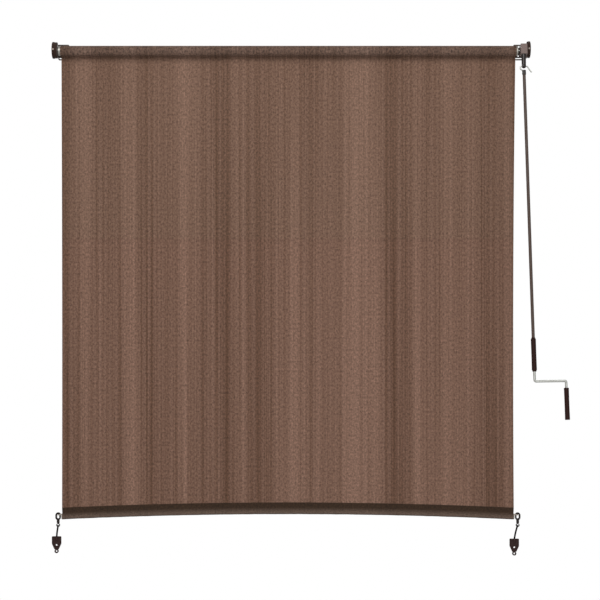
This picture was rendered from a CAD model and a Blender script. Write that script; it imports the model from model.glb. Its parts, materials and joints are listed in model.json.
"""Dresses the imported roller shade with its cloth, hem, cords and finishes, and sets up the studio."""

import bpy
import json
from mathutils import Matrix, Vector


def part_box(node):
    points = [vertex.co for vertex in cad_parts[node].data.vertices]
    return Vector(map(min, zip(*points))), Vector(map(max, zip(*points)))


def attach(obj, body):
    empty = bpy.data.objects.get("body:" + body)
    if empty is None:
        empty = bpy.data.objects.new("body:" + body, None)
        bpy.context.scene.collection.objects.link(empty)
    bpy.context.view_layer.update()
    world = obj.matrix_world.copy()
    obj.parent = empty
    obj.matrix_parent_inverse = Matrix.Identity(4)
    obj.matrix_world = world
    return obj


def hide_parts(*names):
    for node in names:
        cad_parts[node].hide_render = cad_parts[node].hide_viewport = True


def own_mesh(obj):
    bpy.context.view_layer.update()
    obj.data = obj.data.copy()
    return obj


bl_info = {
    "name": "Roller Shade Dressing",
    "version": (1, 0, 0),
    "blender": (4, 5, 0),
    "location": "View3D > Sidebar > Roller Shade",
    "description": "Hangs the cloth, sews the hem, ties the cords and paints the hardware of a roller shade",
    "category": "Object",
}

import json
import math

import bmesh
import bpy
from bpy.props import FloatProperty, FloatVectorProperty, IntProperty, PointerProperty
from bpy.types import NodeSocket, Operator, Panel, PropertyGroup
from mathutils import Color, Vector, noise

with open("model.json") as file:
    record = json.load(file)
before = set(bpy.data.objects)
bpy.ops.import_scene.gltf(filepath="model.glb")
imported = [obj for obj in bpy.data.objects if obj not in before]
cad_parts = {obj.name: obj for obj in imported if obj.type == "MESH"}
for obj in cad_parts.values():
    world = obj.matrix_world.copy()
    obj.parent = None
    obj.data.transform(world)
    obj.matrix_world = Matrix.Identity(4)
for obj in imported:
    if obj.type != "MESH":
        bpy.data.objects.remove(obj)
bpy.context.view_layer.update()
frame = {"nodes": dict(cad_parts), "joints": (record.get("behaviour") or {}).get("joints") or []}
cloth_low, cloth_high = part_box("shade_cloth")
roll_low, roll_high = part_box("wound_cloth")
hem_low, hem_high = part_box("hem_sleeve")
tube_low, tube_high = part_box("roller_tube")

UV_NAME = "cloth"
MERGE_DISTANCE = 1e-6
CLOTH_SHARP_ANGLE = math.radians(40)
HEM_SHARP_ANGLE = math.radians(60)

DISPLAY_WHITE = 255
WHITE = (1.0, 1.0, 1.0)
FLOOR_COLOUR = (0.86, 0.86, 0.85)
DUST_COLOUR = (0.30, 0.26, 0.22)

HALF_SHARE = 0.5
WHOLE_SHARES = (0.0, 1.0)

# Knit: a loop's height against its width, and the light between the loops and on them
LOOP_HEIGHT_SHARE = 0.8
LOOP_LIGHT_SHARES = (0.80, 1.29)
KNIT_DEPTH = 0.0006
CLOTH_SHINE = 0.2

# Yarn streaks: waves in a metre across and along the cloth, detail, and share of the whole
STREAK_LAYERS = (
    (6.0, 0.1, 1.0, 0.46),
    (64.0, 0.3, 2.0, 0.30),
    (210.0, 0.5, 1.0, 0.24),
)
STREAK_SPAN_SHARES = (0.36, 0.60)
MOTTLE_WAVES = (150.0, 110.0)
MOTTLE_DETAIL = 3.0
MOTTLE_ROUGHNESS = 0.75

# Grain: fine and in patches, and the roughness of the patches against the finish's own
FINE_DETAIL = 3.0
FINE_ROUGHNESS = 0.6
PATCH_SCALE_SHARE = 0.09
PATCH_DETAIL = 2.0
PATCH_SPAN_SHARES = (0.3, 0.7)
PATCH_ROUGHNESS_SHARES = (0.8, 1.25)

# Dust: how level a face has to be, and the patches it lies in
DUST_LEVEL_SHARES = (0.25, 1.0)
DUST_SCALE = 90.0
DUST_DETAIL = 4.0
DUST_ROUGHNESS = 0.65
DUST_SPAN_SHARES = (0.35, 0.7)
DUST_COVER_SHARES = (0.2, 1.0)

# Plait: the span of its heights, and the light in its gaps and on its strands
PLAIT_SPAN_SHARES = (-0.2, 1.0)
PLAIT_LIGHT_SHARES = (0.35, 1.2)
PLAIT_DEPTH = 0.0006
CORD_ROUGHNESS = 0.85
CORD_SHINE = 0.05

# Ripple of the cloth: waves in a metre across and down, place in the noise, and share
RIPPLE_LAYERS = ((7.0, 0.7, 3.7, 1.0), (19.0, 1.3, 9.1, 0.5))

# Pucker of the hem: waves in a metre along and round the rail, and share
PUCKER_LAYERS = ((26.0, 40.0, 1.0), (90.0, 60.0, 0.6))

# Stitches: how far they lean, in radians, and how quickly the lean changes from one to the next
STITCH_LEAN = 0.05
STITCH_LEAN_STEP = 0.7


# Settings
def display(red, green, blue):
    """A colour in display values from 0 to 255, turned into light values."""
    shown = Color([value / DISPLAY_WHITE for value in (red, green, blue)])
    return tuple(shown.from_srgb_to_scene_linear())


def colour_property(name, description, red, green, blue):
    """A colour given in display values."""
    return FloatVectorProperty(
        name=name, description=description, subtype="COLOR", size=3, min=0.0, max=1.0,
        default=display(red, green, blue),
    )


def length_property(name, description, default):
    """A length in metres."""
    return FloatProperty(name=name, description=description, default=default, unit="LENGTH", precision=5)


def place_property(name, description, *place):
    """A place in metres."""
    return FloatVectorProperty(
        name=name, description=description, default=place, size=3, subtype="TRANSLATION", unit="LENGTH",
    )


def share_property(name, description, default):
    """A share or a strength, which has no unit."""
    return FloatProperty(name=name, description=description, default=default, min=0.0)


def power_property(name, description, default):
    """A lamp's power in watts."""
    return FloatProperty(name=name, description=description, default=default, min=0.0, unit="POWER")


def count_property(name, description, default):
    """A whole number of pieces or steps."""
    return IntProperty(name=name, description=description, default=default, min=1)


class RollerShadeCloth(PropertyGroup):
    """Sizes and colours of the hanging cloth and of the turns on the roller."""

    light_yarn: colour_property("Light yarn", "Paler, greyer yarn of the knit", 141, 114, 100)
    dark_yarn: colour_property("Dark yarn", "Darker, browner yarn of the knit", 96, 72, 58)
    upper_tint: colour_property("Upper tint", "Tint of the cloth above the fold line", 251, 245, 239)
    lower_tint: colour_property("Lower tint", "Tint of the cloth below the fold line", 255, 246, 241)
    thick: length_property("Thickness", "Thickness of the cloth", cloth_high.y - cloth_low.y)
    stitch_pitch: length_property("Stitch pitch", "Distance from one knitted column to the next", 0.0032)
    ripple: length_property("Ripple", "How far the cloth waves in and out", 0.0007)
    waist_left: length_property("Left waist", "How far the left edge curves in at half height", 0.0015)
    waist_right: length_property("Right waist", "How far the right edge curves in at half height", 0.0050)
    crease_height: length_property("Crease height", "Height of the fold line left by packing", -0.715)
    crease_depth: length_property("Crease depth", "Depth of the fold line", 0.0006)
    crease_run: length_property("Crease run", "Run from the fold line over which the dent fades", 0.008)
    crease_edge: length_property("Crease edge", "Run above the fold line over which the shade starts", 0.002)
    crease_fade: length_property("Crease fade", "Run below the fold line over which the shade ends", 0.023)
    crease_shade: share_property("Crease shade", "Share of light at the fold line", 0.93)
    mottling: share_property("Mottling", "Strength of the fine mottle", 2.6)
    roughness: share_property("Roughness", "Roughness of the hanging cloth", 0.9)
    columns: count_property("Columns", "Mesh columns across the cloth", 168)
    rows: count_property("Rows", "Mesh rows down the cloth", 172)
    turns: count_property("Turns", "Turns of cloth left on the tube", 2)
    turn_gap: length_property("Turn gap", "Air between two turns", 0.00005)
    roll_shade: share_property("Roll shade", "Share of light on the packed turns", 0.67)
    roll_mottling: share_property("Roll mottling", "Mottle of the turns against the hanging cloth's", 1.5)
    roll_roughness: share_property("Roll roughness", "Roughness of the packed turns", 0.8)
    roll_steps: count_property("Roll steps", "Mesh steps in half a turn", 40)
    roll_cuts: count_property("Roll cuts", "Mesh cuts along the roll", 47)


class RollerShadeHem(PropertyGroup):
    """Sizes and colours of the hem pocket and its seam."""

    band: colour_property("Band", "Colour of the doubled band above the pocket", 61, 44, 31)
    pocket_cloth: colour_property("Pocket cloth", "Colour of the stretched pocket cloth", 116, 97, 85)
    below: colour_property("Underside", "Colour of the worn cloth under the rail", 26, 15, 10)
    thread: colour_property("Thread", "Colour of the sewing thread", 58, 44, 36)
    dark_share: share_property("Dark yarn share", "Light of the pocket's dark yarn against its pale one", 0.8)
    roughness: share_property("Roughness", "Roughness of the stretched pocket cloth", 0.7)
    half_width: length_property("Half width", "Half the width of the hem along the rail", 0.86275)
    rail_drop: length_property("Rail drop", "Height of the rail's middle below the roller", 1.758)
    bow: length_property("Bow", "Rise of the rail from its ends to its middle", 0.020)
    pocket: length_property("Pocket radius", "Outer radius of the round pocket", 0.01095)
    join_rise: length_property("Join rise", "Height above the rail where the pocket closes", 0.015)
    loose_run: length_property("Loose run", "Run above the join over which the pucker ends", 0.006)
    rise: length_property("Hem rise", "Height of the hem's top above the rail", 0.034)
    edge: length_property("Dark edge", "Run from the lowest line up the pocket that looks dark", 0.018)
    fade: length_property("Fade", "Run down the pocket's face over which its cloth turns pale", 0.042)
    pucker: length_property("Pucker", "Unevenness of the sewn cloth", 0.00045)
    seam_rise: length_property("Seam rise", "Height of the seam above the rail", 0.0295)
    stitch: length_property("Stitch", "Length of one stitch", 0.0042)
    stitch_step: length_property("Stitch step", "Distance from one stitch to the next", 0.0062)
    thread_radius: length_property("Thread radius", "Radius of the sewing thread", 0.00042)
    round_steps: count_property("Steps round", "Mesh steps round the pocket", 26)
    long_steps: count_property("Steps along", "Mesh steps along the rail", 260)


class RollerShadeCords(PropertyGroup):
    """Sizes and colour of the tie cords."""

    colour: colour_property("Cord", "Colour of the braided cord", 18, 12, 10)
    radius: length_property("Cord radius", "Radius of the cord", 0.0033)
    straight: length_property("Straight end", "Straight run above the anchor plate", 0.010)
    sunk: length_property("Sunk end", "How deep the cord goes into the anchor plate", 0.012)
    ring_drop: length_property("Ring drop", "From the lug bar down to the middle of the swivel ring", 0.040)
    plait_pitch: length_property("Plait pitch", "Length of one plait of the braid", 0.0042)
    strands: count_property("Strands", "Strands round the braid", 4)
    round_steps: count_property("Steps round", "Mesh steps in a quarter round the cord", 6)
    long_steps: count_property("Steps along", "Mesh steps between two points of the cord", 24)


class RollerShadeHardware(PropertyGroup):
    """Colours of the metal and plastic pieces."""

    bracket: colour_property("Brackets", "Paint of the folded brackets", 88, 78, 72)
    housing: colour_property("Housing", "Paint of the gear housing", 126, 110, 105)
    cover: colour_property("Covers", "Plastic of the end covers", 50, 35, 29)
    pole: colour_property("Pole", "Paint of the crank pole", 80, 66, 59)
    grip: colour_property("Grips", "Plastic of the grips", 44, 24, 20)
    eye: colour_property("Eye", "Black paint of the crank eye", 28, 19, 15)
    steel: colour_property("Plated steel", "Zinc plated steel", 182, 183, 178)
    screw: colour_property("Screws", "Dulled steel of the screws", 146, 136, 127)
    galvanised: colour_property("Galvanised steel", "Galvanised tube", 160, 158, 151)
    cast: colour_property("Cast metal", "Bare cast metal of the gear", 56, 50, 47)
    pale_plastic: colour_property("Pale plastic", "Bushes and plugs", 160, 154, 144)
    cap: colour_property("Rail caps", "Grey plastic of the rail caps", 168, 160, 150)
    snap: colour_property("Snap hooks", "Black paint of the snap hooks", 26, 18, 15)
    anchor: colour_property("Anchor plates", "Plastic of the anchor plates", 54, 39, 37)


class RollerShadeStage(PropertyGroup):
    """Camera, lamps and floor."""

    camera_distance: length_property("Camera distance", "From the cloth to the camera", 6.0)
    camera_side: length_property("Camera side", "Camera's place along the roller", 0.0335)
    camera_height: length_property("Camera height", "Camera's height from the roller", -0.9495)
    view_width: length_property("View width", "Width of the picture at the cloth", 2.296)
    floor_height: length_property("Floor height", "Height of the floor from the roller", -2.16)
    floor_front: length_property("Floor front", "How far the floor comes forward", -4.5)
    floor_back: length_property("Floor back", "How far the floor goes back", 0.29)
    floor_side: length_property("Floor side", "Half the width of the floor", 3.5)
    floor_roughness: share_property("Floor roughness", "Roughness of the floor", 0.9)
    key_place: place_property("Key place", "Place of the large lamp", -0.6, -4.6, 2.4)
    key_size: length_property("Key size", "Side of the large lamp", 3.0)
    key_power: power_property("Key lamp", "Power of the large lamp", 170.0)
    fill_place: place_property("Fill place", "Place of the low lamp", 1.2, -4.8, -1.6)
    fill_size: length_property("Fill size", "Side of the low lamp", 2.5)
    fill_power: power_property("Fill lamp", "Power of the low lamp", 36.0)
    back_place: place_property("Back place", "Place of the lamp behind", 0.8, 4.6, 1.0)
    back_size: length_property("Back size", "Side of the lamp behind", 3.0)
    back_power: power_property("Back lamp", "Power of the lamp behind", 90.0)
    ambient: share_property("Surround", "Light from all round", 0.32)
    mirrored: share_property("Mirrored", "Brightness of the surround in shine", 0.65)


# Shader nodes, with the mix node's sockets for a share, two colours and the mixed colour
MIX_SOCKETS = (0, 6, 7)
MIXED_SOCKET = 2


def set_or_link(tree, value, socket):
    """Puts a value on a socket, or a link where the value is another socket."""
    if isinstance(value, NodeSocket):
        tree.links.new(value, socket)
    else:
        socket.default_value = value


def reckon(tree, operation, first, second=0.0):
    """One sum on values or sockets."""
    made = tree.nodes.new("ShaderNodeMath")
    made.operation = operation
    set_or_link(tree, first, made.inputs[0])
    set_or_link(tree, second, made.inputs[1])
    return made.outputs[0]


def spread(tree, value, span, new_span):
    """A value carried from one span to another."""
    made = tree.nodes.new("ShaderNodeMapRange")
    for index, entry in enumerate((value, *span, *new_span)):
        set_or_link(tree, entry, made.inputs[index])
    return made.outputs[0]


def arched(tree, value):
    """One arch from 0 up to 1 and back for each whole step of a value."""
    share = reckon(tree, "FRACT", value)
    return reckon(tree, "SINE", reckon(tree, "MULTIPLY", share, math.pi))


def swung(tree, value, strength):
    """A value from 0 to 1 turned into a factor that swings round 1."""
    swing = reckon(tree, "MULTIPLY", reckon(tree, "SUBTRACT", value, HALF_SHARE), strength)
    return reckon(tree, "ADD", swing, 1.0)


def split(tree, vector):
    """The parts of a vector."""
    made = tree.nodes.new("ShaderNodeSeparateXYZ")
    tree.links.new(vector, made.inputs[0])
    return made.outputs


def blended(tree, share, first, second, kind="MIX"):
    """Two colours mixed by a share."""
    made = tree.nodes.new("ShaderNodeMix")
    made.data_type = "RGBA"
    made.blend_type = kind
    for index, entry in zip(MIX_SOCKETS, (share, first, second)):
        set_or_link(tree, entry, made.inputs[index])
    return made.outputs[MIXED_SOCKET]


def multiplied(tree, first, second):
    """Two colours multiplied."""
    return blended(tree, 1.0, first, second, "MULTIPLY")


def grey_of(tree, level):
    """A value as a grey colour."""
    made = tree.nodes.new("ShaderNodeCombineColor")
    for socket in made.inputs:
        tree.links.new(level, socket)
    return made.outputs[0]


def stretched(tree, vector, across, along, depth=1.0):
    """Coordinates multiplied on each axis."""
    made = tree.nodes.new("ShaderNodeMapping")
    tree.links.new(vector, made.inputs["Vector"])
    made.inputs["Scale"].default_value = (across, along, depth)
    return made.outputs[0]


def cloudy(tree, vector, scale, detail, roughness=0.5):
    """Soft noise from 0 to 1."""
    made = tree.nodes.new("ShaderNodeTexNoise")
    tree.links.new(vector, made.inputs["Vector"])
    set_or_link(tree, scale, made.inputs["Scale"])
    made.inputs["Detail"].default_value = detail
    made.inputs["Roughness"].default_value = roughness
    return made.outputs[0]


def new_group(name, inputs, outputs):
    """An empty shader node group with its sockets."""
    group = bpy.data.node_groups.new(name, "ShaderNodeTree")
    for in_out, sockets in (("INPUT", inputs), ("OUTPUT", outputs)):
        for label, kind in sockets:
            group.interface.new_socket(name=label, in_out=in_out, socket_type="NodeSocket" + kind)
    return group, group.nodes.new("NodeGroupInput").outputs, group.nodes.new("NodeGroupOutput").inputs


def place_group(tree, name, **inputs):
    """A node group placed in a material, with its inputs set or linked."""
    made = tree.nodes.new("ShaderNodeGroup")
    made.node_tree = bpy.data.node_groups[name]
    for label, value in inputs.items():
        set_or_link(tree, value, made.inputs[label.capitalize()])
    return made.outputs


# Shared patterns
def make_knit_group():
    """Knitted columns of loops, each column half a loop out of step with the next."""
    tree, given, result = new_group(
        "Knit",
        (("Vector", "Vector"), ("Pitch", "Float")),
        (("Height", "Float"), ("Shade", "Float")),
    )
    place = split(tree, given["Vector"])
    column = reckon(tree, "DIVIDE", place["X"], given["Pitch"])
    row = reckon(tree, "DIVIDE", place["Y"], reckon(tree, "MULTIPLY", given["Pitch"], LOOP_HEIGHT_SHARE))
    odd = reckon(tree, "MODULO", reckon(tree, "FLOOR", column), 2.0)
    shifted = reckon(tree, "ADD", row, reckon(tree, "MULTIPLY", odd, HALF_SHARE))
    height = reckon(tree, "MULTIPLY", arched(tree, column), arched(tree, shifted))
    tree.links.new(height, result["Height"])
    tree.links.new(spread(tree, height, WHOLE_SHARES, LOOP_LIGHT_SHARES), result["Shade"])


def make_streak_group():
    """Long streaks along the yarn, from broad bands to single columns, and a fine mottle."""
    tree, given, result = new_group(
        "Yarn streaks",
        (("Vector", "Vector"), ("Mottling", "Float")),
        (("Streak", "Float"), ("Mottle", "Float")),
    )
    total = 0.0
    for across, along, detail, share in STREAK_LAYERS:
        layer = cloudy(tree, stretched(tree, given["Vector"], across, along), 1.0, detail)
        total = reckon(tree, "ADD", total, reckon(tree, "MULTIPLY", layer, share))
    tree.links.new(spread(tree, total, STREAK_SPAN_SHARES, WHOLE_SHARES), result["Streak"])
    speckled = stretched(tree, given["Vector"], *MOTTLE_WAVES)
    speckle = cloudy(tree, speckled, 1.0, MOTTLE_DETAIL, MOTTLE_ROUGHNESS)
    tree.links.new(swung(tree, speckle, given["Mottling"]), result["Mottle"])


def make_grain_group():
    """Fine unevenness of paint, plastic and metal."""
    tree, given, result = new_group(
        "Surface grain",
        (("Vector", "Vector"), ("Scale", "Float"), ("Amount", "Float")),
        (("Tint", "Color"), ("Height", "Float"), ("Patch", "Float")),
    )
    fine = cloudy(tree, given["Vector"], given["Scale"], FINE_DETAIL, FINE_ROUGHNESS)
    patch_scale = reckon(tree, "MULTIPLY", given["Scale"], PATCH_SCALE_SHARE)
    patch = cloudy(tree, given["Vector"], patch_scale, PATCH_DETAIL)
    mixed = reckon(tree, "MULTIPLY", reckon(tree, "ADD", fine, patch), HALF_SHARE)
    tree.links.new(grey_of(tree, swung(tree, mixed, given["Amount"])), result["Tint"])
    tree.links.new(fine, result["Height"])
    tree.links.new(patch, result["Patch"])


def make_dust_group():
    """Dust that lies in patches on what faces up."""
    tree, given, result = new_group(
        "Settled dust",
        (("Vector", "Vector"), ("Amount", "Float")),
        (("Mask", "Float"),),
    )
    normal = split(tree, tree.nodes.new("ShaderNodeNewGeometry").outputs["Normal"])
    facing_up = spread(tree, normal["Z"], DUST_LEVEL_SHARES, WHOLE_SHARES)
    clouds = cloudy(tree, given["Vector"], DUST_SCALE, DUST_DETAIL, DUST_ROUGHNESS)
    patchy = spread(tree, clouds, DUST_SPAN_SHARES, DUST_COVER_SHARES)
    mask = reckon(tree, "MULTIPLY", reckon(tree, "MULTIPLY", facing_up, patchy), given["Amount"])
    tree.links.new(mask, result["Mask"])


def make_plait_group():
    """The crossed strands of a braided cord, along its length and round it."""
    tree, given, result = new_group(
        "Plait",
        (("Vector", "Vector"), ("Along", "Float"), ("Round", "Float")),
        (("Height", "Float"),),
    )
    place = split(tree, given["Vector"])
    along = reckon(tree, "MULTIPLY", place["X"], given["Along"])
    around = reckon(tree, "MULTIPLY", place["Y"], given["Round"])
    rising = reckon(tree, "SINE", reckon(tree, "ADD", along, around))
    falling = reckon(tree, "SINE", reckon(tree, "SUBTRACT", along, around))
    tree.links.new(reckon(tree, "MAXIMUM", rising, falling), result["Height"])


# Finishes
def shaded(colour, share):
    """A colour with a share of its light."""
    return [share * value for value in colour]


def against(colour, base):
    """The tint that turns a base colour into a colour."""
    return [value / base_value for value, base_value in zip(colour, base)]


def new_material(name):
    """A material with its node tree and its shader's sockets."""
    material = bpy.data.materials.new(name)
    material.use_nodes = True
    return material, material.node_tree, material.node_tree.nodes["Principled BSDF"].inputs


def add_bump(tree, shader, height, depth):
    """Raises the surface by a height from 0 to 1."""
    bump = tree.nodes.new("ShaderNodeBump")
    bump.inputs["Distance"].default_value = depth
    tree.links.new(height, bump.inputs["Height"])
    tree.links.new(bump.outputs[0], shader["Normal"])


def hard_finish(name, colour, roughness, metallic=0.0, scale=700.0, amount=0.12, depth=0.00004,
                shine=0.1, dust=0.0, brushed=1.0):
    """Paint, plastic or metal with grain, uneven gloss and a little dust on top."""
    material, tree, shader = new_material(name)
    place = tree.nodes.new("ShaderNodeTexCoord").outputs["Object"]
    if brushed != 1.0:
        place = stretched(tree, place, 1.0, 1.0, brushed)
    grain = place_group(tree, "Surface grain", vector=place, scale=scale, amount=amount)
    tinted = multiplied(tree, (*colour, 1.0), grain["Tint"])
    if dust:
        settled = place_group(tree, "Settled dust", vector=place, amount=dust)
        tinted = blended(tree, settled["Mask"], tinted, (*DUST_COLOUR, 1.0))
    tree.links.new(tinted, shader["Base Color"])
    patches = [roughness * share for share in PATCH_ROUGHNESS_SHARES]
    tree.links.new(spread(tree, grain["Patch"], PATCH_SPAN_SHARES, patches), shader["Roughness"])
    shader["Metallic"].default_value = metallic
    shader["Specular IOR Level"].default_value = shine
    add_bump(tree, shader, grain["Height"], depth)
    return material


def tinted_by_height(tree, height, stops):
    """A colour that changes with the height, from the lowest stop to the highest."""
    heights, colours = zip(*stops)
    low = heights[0]
    high = heights[-1]
    ramp = tree.nodes.new("ShaderNodeValToRGB")
    elements = ramp.color_ramp.elements
    tree.links.new(spread(tree, height, (low, high), WHOLE_SHARES), ramp.inputs[0])
    for stop in heights[1:-1]:
        elements.new((stop - low) / (high - low))
    for element, colour in zip(elements, colours):
        element.color = (*colour, 1.0)
    return ramp.outputs["Color"]


def cloth_finish(name, light, dark, pitch, roughness, mottling, tint=None):
    """Knitted cloth with yarn streaks, read along the cloth's own map and tinted by its height."""
    material, tree, shader = new_material(name)
    map_node = tree.nodes.new("ShaderNodeUVMap")
    map_node.uv_map = UV_NAME
    place = map_node.outputs[0]
    streaks = place_group(tree, "Yarn streaks", vector=place, mottling=mottling)
    knit = place_group(tree, "Knit", vector=place, pitch=pitch)
    yarn = blended(tree, streaks["Streak"], (*dark, 1.0), (*light, 1.0))
    if tint:
        yarn = multiplied(tree, yarn, tinted_by_height(tree, split(tree, place)["Y"], tint))
    level = reckon(tree, "MULTIPLY", knit["Shade"], streaks["Mottle"])
    tree.links.new(multiplied(tree, yarn, grey_of(tree, level)), shader["Base Color"])
    shader["Roughness"].default_value = roughness
    shader["Specular IOR Level"].default_value = CLOTH_SHINE
    add_bump(tree, shader, knit["Height"], KNIT_DEPTH)
    return material


def cord_finish(name, colour, along, around):
    """Braided cord, read along and round its own map."""
    material, tree, shader = new_material(name)
    place = tree.nodes.new("ShaderNodeTexCoord").outputs["UV"]
    plait = place_group(tree, "Plait", vector=place, along=along, round=around)
    level = spread(tree, plait["Height"], PLAIT_SPAN_SHARES, PLAIT_LIGHT_SHARES)
    tree.links.new(multiplied(tree, (*colour, 1.0), grey_of(tree, level)), shader["Base Color"])
    shader["Roughness"].default_value = CORD_ROUGHNESS
    shader["Specular IOR Level"].default_value = CORD_SHINE
    add_bump(tree, shader, plait["Height"], PLAIT_DEPTH)
    return material


# Meshes
def joint_named(name):
    """A joint of the frame."""
    return next(joint for joint in frame["joints"] if joint["name"] == name)


def map_cloth(build, place_on_cloth):
    """Gives every corner of every face its place on the flat cloth."""
    layer = build.loops.layers.uv.new(UV_NAME)
    for face in build.faces:
        for loop in face.loops:
            loop[layer].uv = place_on_cloth(face, loop.vert.co)


def finished_piece(name, build, material, body):
    """A smooth mesh object made from a bmesh, on its body."""
    mesh = bpy.data.meshes.new(name)
    build.to_mesh(mesh)
    build.free()
    mesh.materials.append(material)
    for polygon in mesh.polygons:
        polygon.use_smooth = True
    made = bpy.data.objects.new(name, mesh)
    bpy.context.scene.collection.objects.link(made)
    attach(made, body)
    return made


def bow_place(hem):
    """The middle, the height of the centre and the radius of the rail's bow."""
    middle = (hem_low.x + hem_high.x) / 2
    radius = (hem.half_width ** 2 + hem.bow ** 2) / (2 * hem.bow)
    return middle, -hem.rail_drop - radius, radius


def bow_height(hem, x, rise):
    """The height of a line that follows the bow."""
    middle, centre, radius = bow_place(hem)
    return centre + math.sqrt((radius + rise) ** 2 - (x - middle) ** 2)


def rise_above_rail(hem, place):
    """How far a place is above the bowed line of the rail."""
    middle, centre, radius = bow_place(hem)
    return math.hypot(place.x - middle, place.z - centre) - radius


def cloth_point(cloth, hem, across, down):
    """A point of the hanging cloth, from 0 to 1 across and from 0 to 1 down."""
    curve_share = 4.0 * down * (1.0 - down)
    left = cloth_low.x + (hem_low.x - cloth_low.x) * down + cloth.waist_left * curve_share
    right = cloth_high.x + (hem_high.x - cloth_high.x) * down - cloth.waist_right * curve_share
    x = left + (right - left) * across
    z = bow_height(hem, x, hem.rise) * down
    free_share = math.sin(math.pi * min(1.0, max(0.0, down)))
    wave = 0.0
    for waves_across, waves_down, place, share in RIPPLE_LAYERS:
        wave += share * noise.noise(Vector((x * waves_across, z * waves_down, place)))
    crease = math.exp(-((z - cloth.crease_height) / cloth.crease_run) ** 2)
    y = cloth_low.y + cloth.ripple * free_share * wave - cloth.crease_depth * crease
    return Vector((x, y, z))


class ROLLERSHADE_OT_groups(Operator):
    """Builds the shared patterns of knit, streaks, grain, dust and plait"""

    bl_idname = "roller_shade.groups"
    bl_label = "Shared Patterns"

    def execute(self, context):
        make_knit_group()
        make_streak_group()
        make_grain_group()
        make_dust_group()
        make_plait_group()
        return {"FINISHED"}


class ROLLERSHADE_OT_hanging_cloth(Operator):
    """Hangs the knitted cloth from the back of the roll down to the hem"""

    bl_idname = "roller_shade.hanging_cloth"
    bl_label = "Hanging Cloth"

    def execute(self, context):
        cloth = context.scene.shade_cloth
        hem = context.scene.shade_hem
        build = bmesh.new()
        bmesh.ops.create_grid(build, x_segments=cloth.columns, y_segments=cloth.rows, size=HALF_SHARE)
        for vertex in build.verts:
            vertex.co = cloth_point(cloth, hem, HALF_SHARE + vertex.co.x, HALF_SHARE - vertex.co.y)
        bmesh.ops.recalc_face_normals(build, faces=build.faces[:])
        if sum(face.normal.y for face in build.faces) > 0:
            bmesh.ops.reverse_faces(build, faces=build.faces[:])
        bmesh.ops.solidify(build, geom=build.faces[:], thickness=cloth.thick)
        map_cloth(build, lambda face, place: (place.x, place.z))
        fold = cloth.crease_height
        tint = (
            (fold - cloth.crease_fade, cloth.lower_tint),
            (fold, shaded(cloth.lower_tint, cloth.crease_shade)),
            (fold + cloth.crease_edge, cloth.upper_tint),
        )
        material = cloth_finish(
            "knitted_cloth", cloth.light_yarn, cloth.dark_yarn, cloth.stitch_pitch,
            cloth.roughness, cloth.mottling, tint,
        )
        made = finished_piece("hanging_cloth", build, material, "brackets")
        made.data.set_sharp_from_angle(angle=CLOTH_SHARP_ANGLE)
        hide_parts("shade_cloth")
        return {"FINISHED"}


class ROLLERSHADE_OT_rolled_cloth(Operator):
    """Winds the turns of cloth that stay on the tube"""

    bl_idname = "roller_shade.rolled_cloth"
    bl_label = "Rolled Cloth"

    def execute(self, context):
        cloth = context.scene.shade_cloth
        axis_y = (tube_low.y + tube_high.y) / 2
        tube_radius = (tube_high.z - tube_low.z) / 2
        roll_width = roll_high.x - roll_low.x
        growth = (cloth.thick + cloth.turn_gap) / 2
        build = bmesh.new()
        inner = build.verts.new((roll_low.x, axis_y + tube_radius, 0.0))
        outer = build.verts.new((roll_low.x, axis_y + tube_radius + cloth.thick, 0.0))
        line = [build.edges.new((inner, outer))]
        for half in range(2 * cloth.turns):
            centre = (roll_low.x, axis_y + growth * (half % 2), 0.0)
            spun = bmesh.ops.spin(
                build, geom=line, cent=centre, axis=(1.0, 0.0, 0.0), angle=-math.pi, steps=cloth.roll_steps,
            )
            line = [item for item in spun["geom_last"] if isinstance(item, bmesh.types.BMEdge)]
        bmesh.ops.remove_doubles(build, verts=build.verts[:], dist=MERGE_DISTANCE)
        grown = bmesh.ops.extrude_face_region(build, geom=build.faces[:])
        moved = [item for item in grown["geom"] if isinstance(item, bmesh.types.BMVert)]
        bmesh.ops.translate(build, verts=moved, vec=(roll_width, 0.0, 0.0))
        long_edges = [edge for edge in build.edges if edge.calc_length() > roll_width / 2]
        bmesh.ops.subdivide_edges(build, edges=long_edges, cuts=cloth.roll_cuts, use_grid_fill=True)
        bmesh.ops.recalc_face_normals(build, faces=build.faces[:])

        def turn_of(place):
            """The turn round the tube, from the front over the top."""
            return math.atan2(place.z, axis_y - place.y)

        def place_on_cloth(face, place):
            """Along the roll and round it, with no jump inside a face."""
            turn = turn_of(place)
            turn += math.tau * round((turn_of(face.calc_center_median()) - turn) / math.tau)
            return place.x, turn * tube_radius

        map_cloth(build, place_on_cloth)
        light = shaded(cloth.light_yarn, cloth.roll_shade)
        dark = shaded(cloth.dark_yarn, cloth.roll_shade)
        material = cloth_finish(
            "rolled_cloth", light, dark, cloth.stitch_pitch,
            cloth.roll_roughness, cloth.roll_mottling * cloth.mottling,
        )
        made = finished_piece("rolled_cloth_turns", build, material, "roller")
        made.data.set_sharp_from_angle(angle=CLOTH_SHARP_ANGLE)
        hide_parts("wound_cloth")
        return {"FINISHED"}


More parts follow.
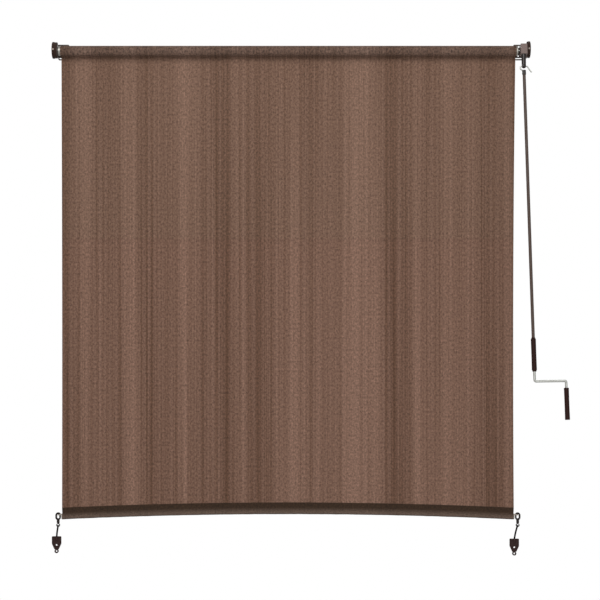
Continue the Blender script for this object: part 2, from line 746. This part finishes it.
class ROLLERSHADE_OT_hem(Operator):
    """Sews the hem pocket round the bowed rail, with a seam of stitches on both sides"""

    bl_idname = "roller_shade.hem"
    bl_label = "Hem"

    def pocket_outline(self, hem, thick):
        """The outer outline of the pocket, from the top of the front layer round to the back."""
        reach = math.hypot(thick, hem.join_rise)
        lean = math.atan2(thick, hem.join_rise) + math.acos(hem.pocket / reach)
        rises = (hem.rise, hem.seam_rise, hem.join_rise + hem.loose_run, hem.join_rise)
        front = [(-thick, rise) for rise in rises]
        around = []
        for step in range(hem.round_steps + 1):
            turn = -lean - (math.tau - 2 * lean) * step / hem.round_steps
            around.append((hem.pocket * math.sin(turn), hem.pocket * math.cos(turn)))
        back = [(-depth, rise) for depth, rise in reversed(front)]
        return front + around + back

    def pucker(self, build, hem):
        """Makes the loose cloth of the pocket uneven."""
        for vertex in build.verts:
            x, y, z = vertex.co
            rise = rise_above_rail(hem, vertex.co)
            loose_share = 1.0 - min(1.0, max(0.0, (rise - hem.join_rise) / hem.loose_run))
            swing = 0.0
            for waves_along, waves_round, share in PUCKER_LAYERS:
                swing += share * noise.noise(Vector((x * waves_along, y * waves_round, z * waves_round)))
            vertex.co += vertex.normal * hem.pucker * swing * loose_share

    def execute(self, context):
        cloth = context.scene.shade_cloth
        hem = context.scene.shade_hem
        middle, centre, radius = bow_place(hem)
        rail_y = (cloth_low.y + cloth_high.y) / 2
        half_turn = math.asin(hem.half_width / radius)
        build = bmesh.new()
        line = []
        previous = None
        for depth, rise in self.pocket_outline(hem, cloth.thick):
            reach = radius + rise
            x = middle - reach * math.sin(half_turn)
            vertex = build.verts.new((x, rail_y + depth, centre + reach * math.cos(half_turn)))
            if previous:
                line.append(build.edges.new((previous, vertex)))
            previous = vertex
        bmesh.ops.spin(
            build, geom=line, cent=(middle, 0.0, centre), axis=(0.0, 1.0, 0.0), angle=2 * half_turn,
            steps=hem.long_steps,
        )
        bmesh.ops.recalc_face_normals(build, faces=build.faces[:])
        lowest_face = min(build.faces, key=lambda face: face.calc_center_median().z)
        if lowest_face.normal.z > 0:
            bmesh.ops.reverse_faces(build, faces=build.faces[:])
        self.pucker(build, hem)
        bmesh.ops.solidify(build, geom=build.faces[:], thickness=cloth.thick)

        def place_on_cloth(face, place):
            """Along the rail, and down from the band to the lowest line on both sides."""
            rise = rise_above_rail(hem, place)
            turn = abs(math.atan2(place.y - rail_y, rise)) if rise < hem.join_rise else 0.0
            return place.x, rise - turn * hem.pocket

        map_cloth(build, place_on_cloth)
        lowest = -hem.pocket - math.pi * hem.pocket
        tint = (
            (lowest, against(hem.below, hem.pocket_cloth)),
            (lowest + hem.edge, WHITE),
            (hem.join_rise - hem.fade, WHITE),
            (hem.join_rise, against(hem.band, hem.pocket_cloth)),
        )
        material = cloth_finish(
            "hem_cloth", hem.pocket_cloth, shaded(hem.pocket_cloth, hem.dark_share), cloth.stitch_pitch,
            hem.roughness, cloth.mottling, tint,
        )
        made = finished_piece("hem_pocket", build, material, "rail")
        made.data.set_sharp_from_angle(angle=HEM_SHARP_ANGLE)
        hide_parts("hem_sleeve")
        seam = self.sew(cloth, hem, half_turn, rail_y)
        hung = bpy.data.objects["hanging_cloth"]
        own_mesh(hung)
        return {"FINISHED"}

    def sew(self, cloth, hem, half_turn, rail_y):
        """A row of slack stitches along the seam, on the front and on the back."""
        middle, centre, radius = bow_place(hem)
        build = bmesh.new()
        reach = radius + hem.seam_rise
        step_turn = hem.stitch_step / reach
        for index in range(int(2 * half_turn / step_turn)):
            turn = -half_turn + step_turn * (index + HALF_SHARE)
            for side in (-1, 1):
                made = bmesh.ops.create_icosphere(build, subdivisions=1, radius=1.0)
                lean = turn + STITCH_LEAN * noise.noise(Vector((index * STITCH_LEAN_STEP, side, 0.0)))
                along = Vector((math.cos(lean), 0.0, -math.sin(lean)))
                up = Vector((math.sin(turn), 0.0, math.cos(turn)))
                spot = Vector((middle, rail_y + side * cloth.thick, centre)) + up * reach
                for vertex in made["verts"]:
                    x, y, z = vertex.co
                    vertex.co = spot + along * (x * hem.stitch / 2)
                    vertex.co += Vector((0.0, y * hem.thread_radius, 0.0)) + up * (z * hem.thread_radius)
        material = hard_finish("sewing_thread", hem.thread, roughness=0.8, scale=2500.0, amount=0.3)
        return finished_piece("hem_seam", build, material, "rail")


class ROLLERSHADE_OT_tie_cords(Operator):
    """Runs a braided cord from each swivel ring to its anchor plate"""

    bl_idname = "roller_shade.tie_cords"
    bl_label = "Tie Cords"

    def execute(self, context):
        cords = context.scene.shade_cords
        for side in ("left", "right"):
            bar_x, bar_y, bar_z = joint_named("hook_swing_" + side)["pos_m"]
            plate_low, plate_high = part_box("tie_bracket_" + side)
            anchor_x = (plate_low.x + plate_high.x) / 2
            start = Vector((bar_x, bar_y, bar_z - cords.ring_drop))
            corner = Vector((anchor_x, bar_y, plate_high.z + cords.straight))
            end = Vector((anchor_x, bar_y, plate_high.z - cords.sunk))
            curve = bpy.data.curves.new("tie_cord_braid_" + side, "CURVE")
            curve.dimensions = "3D"
            curve.bevel_depth = cords.radius
            curve.bevel_resolution = cords.round_steps
            curve.resolution_u = cords.long_steps
            curve.use_fill_caps = True
            spline = curve.splines.new("NURBS")
            route = (start, corner, end)
            spline.points.add(len(route) - 1)
            for point, place in zip(spline.points, route):
                point.co = (*place, 1.0)
            spline.order_u = len(route)
            spline.use_endpoint_u = True
            made = bpy.data.objects.new("tie_cord_braid_" + side, curve)
            context.scene.collection.objects.link(made)
            run = (corner - start).length + (end - corner).length
            along = math.tau * run / cords.plait_pitch
            around = math.tau * cords.strands
            curve.materials.append(cord_finish("braided_cord_" + side, cords.colour, along, around))
            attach(made, "tie_" + side)
            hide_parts("tie_cord_" + side)
        return {"FINISHED"}


class ROLLERSHADE_OT_hardware(Operator):
    """Paints the brackets, gear, crank, rail and tie-downs"""

    bl_idname = "roller_shade.hardware"
    bl_label = "Hardware Finishes"

    def paint(self, names, *finish, **values):
        """Gives pieces one finish."""
        material = hard_finish(*finish, **values)
        for name in names:
            shown = frame["nodes"][name]
            shown.data.materials.clear()
            shown.data.materials.append(material)

    def execute(self, context):
        ware = context.scene.shade_hardware
        self.paint(
            ("wall_bracket_left", "wall_bracket_right"),
            "bracket_paint", ware.bracket, roughness=0.5, scale=500.0, dust=0.2,
        )
        self.paint(
            ("gear_housing",),
            "housing_paint", ware.housing, roughness=0.45, scale=420.0, depth=0.00008, dust=0.15,
        )
        self.paint(
            ("end_cover_left", "end_cover_right"),
            "cover_plastic", ware.cover, roughness=0.55, scale=900.0, dust=0.15,
        )
        self.paint(
            ("crank_pole",),
            "pole_paint", ware.pole, roughness=0.35, scale=500.0, shine=0.22,
        )
        self.paint(
            ("upper_grip", "handle_grip", "grip_collars"),
            "grip_plastic", ware.grip, roughness=0.4, scale=1400.0, depth=0.00006,
        )
        self.paint(
            ("crank_eye", "hook_ferrule"),
            "eye_paint", ware.eye, roughness=0.3, scale=600.0, shine=0.4,
        )
        self.paint(
            ("crank_hook", "crank_rod", "crown_screw", "eye_pin", "idler_pin", "worm_shaft"),
            "plated_steel", ware.steel, roughness=0.36, metallic=1.0, scale=900.0, brushed=0.15,
        )
        self.paint(
            ("cover_screws", "housing_screws"),
            "screw_metal", ware.screw, roughness=0.5, metallic=0.7, scale=900.0,
        )
        self.paint(
            ("roller_tube", "bottom_rail"),
            "galvanised_steel", ware.galvanised, roughness=0.45, metallic=1.0, scale=160.0, amount=0.3,
        )
        self.paint(
            ("drive_crown", "worm_wheel"),
            "cast_metal", ware.cast, roughness=0.6, metallic=0.6, scale=500.0, depth=0.0001,
        )
        self.paint(
            ("idler_bush", "idler_plug", "worm_bush"),
            "pale_plastic", ware.pale_plastic, roughness=0.5, scale=900.0,
        )
        self.paint(
            ("rail_cap_left", "rail_cap_right"),
            "cap_plastic", ware.cap, roughness=0.5, scale=900.0,
        )
        self.paint(
            ("snap_hook_left", "snap_hook_right", "snap_gate_left", "snap_gate_right",
             "swivel_eye_left", "swivel_eye_right"),
            "snap_paint", ware.snap, roughness=0.35, scale=900.0, shine=0.2,
        )
        self.paint(
            ("tie_bracket_left", "tie_bracket_right"),
            "anchor_plastic", ware.anchor, roughness=0.5, scale=900.0, depth=0.00008,
        )
        return {"FINISHED"}


class ROLLERSHADE_OT_stage(Operator):
    """Sets the floor, the lamps, the white surround and the camera"""

    bl_idname = "roller_shade.stage"
    bl_label = "Stage"

    def add_floor(self, scene, stage):
        """A pale floor below the tie-downs, out of the picture."""
        build = bmesh.new()
        bmesh.ops.create_grid(build, x_segments=1, y_segments=1, size=stage.floor_side)
        for vertex in build.verts:
            vertex.co.y = stage.floor_front if vertex.co.y < 0 else stage.floor_back
            vertex.co.z = stage.floor_height
        mesh = bpy.data.meshes.new("floor")
        build.to_mesh(mesh)
        build.free()
        material, _, shader = new_material("pale_floor")
        shader["Base Color"].default_value = (*FLOOR_COLOUR, 1.0)
        shader["Roughness"].default_value = stage.floor_roughness
        mesh.materials.append(material)
        floor = bpy.data.objects.new("floor", mesh)
        scene.collection.objects.link(floor)

    def add_lamp(self, scene, name, place, target, size, power):
        """A square lamp turned to a point."""
        lamp = bpy.data.lights.new(name, "AREA")
        lamp.shape = "SQUARE"
        lamp.size = size
        lamp.energy = power
        made = bpy.data.objects.new(name, lamp)
        made.location = place
        made.rotation_euler = (Vector(target) - Vector(place)).to_track_quat("-Z", "Y").to_euler()
        scene.collection.objects.link(made)

    def add_surround(self, scene, stage):
        """White to the eye, less bright in reflections and softer still as a light."""
        world = bpy.data.worlds.new("surround")
        world.use_nodes = True
        tree = world.node_tree
        shader = tree.nodes["Background"]
        shader.inputs["Color"].default_value = (*WHITE, 1.0)
        path = tree.nodes.new("ShaderNodeLightPath")
        unseen = spread(tree, path.outputs["Is Glossy Ray"], WHOLE_SHARES, (stage.ambient, stage.mirrored))
        seen = spread(tree, path.outputs["Is Camera Ray"], WHOLE_SHARES, (unseen, 1.0))
        tree.links.new(seen, shader.inputs["Strength"])
        scene.world = world

    def add_camera(self, scene, stage):
        """A camera straight in front of the shade."""
        lens = bpy.data.cameras.new("front_camera")
        lens.sensor_fit = "HORIZONTAL"
        lens.lens = lens.sensor_width * stage.camera_distance / stage.view_width
        camera = bpy.data.objects.new("front_camera", lens)
        camera.location = (stage.camera_side, cloth_low.y - stage.camera_distance, stage.camera_height)
        camera.rotation_euler = (math.pi / 2, 0.0, 0.0)
        scene.collection.objects.link(camera)
        scene.camera = camera

    def execute(self, context):
        scene = context.scene
        stage = scene.shade_stage
        middle = (stage.camera_side, 0.0, stage.camera_height)
        self.add_floor(scene, stage)
        self.add_lamp(scene, "key_lamp", stage.key_place, middle, stage.key_size, stage.key_power)
        self.add_lamp(scene, "fill_lamp", stage.fill_place, middle, stage.fill_size, stage.fill_power)
        self.add_lamp(scene, "back_lamp", stage.back_place, middle, stage.back_size, stage.back_power)
        self.add_surround(scene, stage)
        self.add_camera(scene, stage)
        scene.view_settings.view_transform = "Standard"
        return {"FINISHED"}


class ROLLERSHADE_PT_panel(Panel):
    """Lists the steps that dress the shade"""

    bl_idname = "ROLLERSHADE_PT_panel"
    bl_label = "Roller Shade"
    bl_space_type = "VIEW_3D"
    bl_region_type = "UI"
    bl_category = "Roller Shade"

    def draw(self, context):
        for step in STEPS:
            self.layout.operator(step.bl_idname)


GROUPS = (
    ("shade_cloth", RollerShadeCloth),
    ("shade_hem", RollerShadeHem),
    ("shade_cords", RollerShadeCords),
    ("shade_hardware", RollerShadeHardware),
    ("shade_stage", RollerShadeStage),
)
STEPS = (
    ROLLERSHADE_OT_groups,
    ROLLERSHADE_OT_stage,
    ROLLERSHADE_OT_tie_cords,
    ROLLERSHADE_OT_hanging_cloth,
    ROLLERSHADE_OT_rolled_cloth,
    ROLLERSHADE_OT_hem,
    ROLLERSHADE_OT_hardware,
)


def register():
    """Registers the settings, the steps and the panel."""
    for name, group in GROUPS:
        bpy.utils.register_class(group)
        setattr(bpy.types.Scene, name, PointerProperty(type=group))
    for step in STEPS:
        bpy.utils.register_class(step)
    bpy.utils.register_class(ROLLERSHADE_PT_panel)


def unregister():
    """Takes them all out again."""
    bpy.utils.unregister_class(ROLLERSHADE_PT_panel)
    for step in reversed(STEPS):
        bpy.utils.unregister_class(step)
    for name, group in reversed(GROUPS):
        delattr(bpy.types.Scene, name)
        bpy.utils.unregister_class(group)


def main():
    """Runs every step in order."""
    register()
    bpy.ops.roller_shade.groups()
    bpy.ops.roller_shade.stage()
    bpy.ops.roller_shade.tie_cords()
    bpy.ops.roller_shade.hanging_cloth()
    bpy.ops.roller_shade.rolled_cloth()
    bpy.ops.roller_shade.hem()
    bpy.ops.roller_shade.hardware()


if __name__ == "__main__":
    main()
